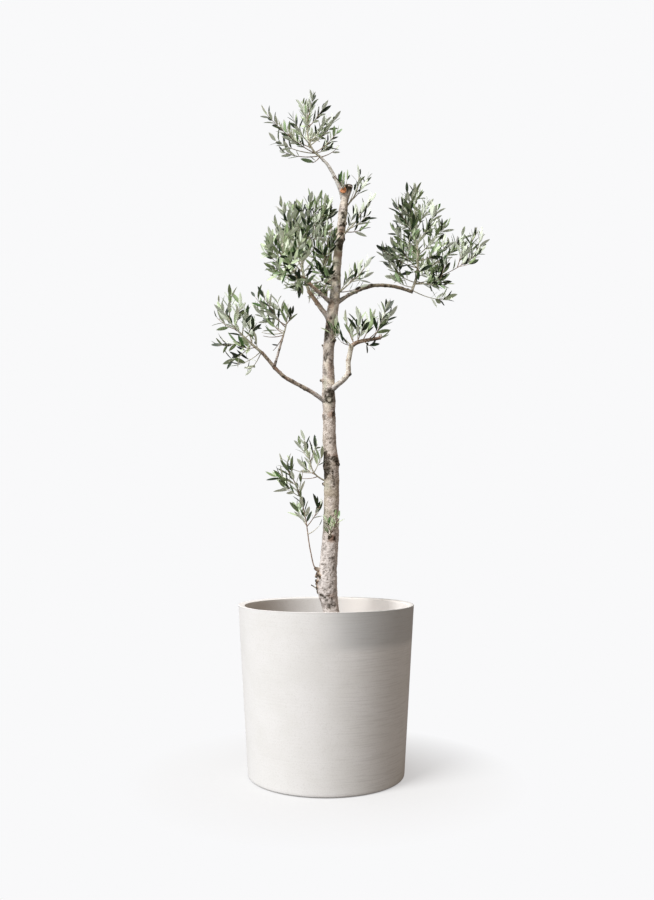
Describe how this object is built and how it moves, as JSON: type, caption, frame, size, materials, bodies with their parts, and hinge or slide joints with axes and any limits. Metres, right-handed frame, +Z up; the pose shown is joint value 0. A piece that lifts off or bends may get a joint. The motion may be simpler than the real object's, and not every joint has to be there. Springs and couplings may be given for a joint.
{
  "type": "potted olive tree",
  "caption": "Small trained olive tree with a bare, leaning trunk and open sprays of narrow grey-green leaves, in a round tapered stone-look pot.",
  "frame": {"origin": "centre of the pot's flat underside, on the floor", "axes": "+Z up along the pot's axis; the long arched bough runs to +X and the side seen in the reference faces -Y"},
  "size_m": [0.6552, 0.4216, 1.6435],
  "materials": {
    "stone": "matte, finely ringed and speckled stone look",
    "soil": "rough, crumbly",
    "bark": "rough pale grey bark with dark knots",
    "young_bark": "smoother grey-brown bark",
    "foliage": "satin grey-green above, silvery and matte below"
  },
  "bodies": {
    "root": {"pot": "stone", "soil": "soil", "trunk": "bark", "bough_low_left": "young_bark", "spur_low_left": "young_bark", "bough_low_right": "young_bark", "bough_right": "young_bark", "bough_left_front": "young_bark", "bough_left_rear": "young_bark", "bough_top": "young_bark", "leaves_top": "foliage", "leaves_right": "foliage", "leaves_left_front": "foliage", "leaves_left_rear": "foliage", "leaves_left_inner": "foliage", "leaves_low_left": "foliage", "leaves_low_left_spur": "foliage", "leaves_low_right": "foliage", "spray_right": "foliage", "spray_upper_right": "foliage", "spray_middle_right": "foliage", "shoot_top": "foliage", "sucker": "foliage", "spray_knot": "foliage", "trunk_tuft": "foliage", "fork_sprig": "foliage"}
  },
  "joints": []
}
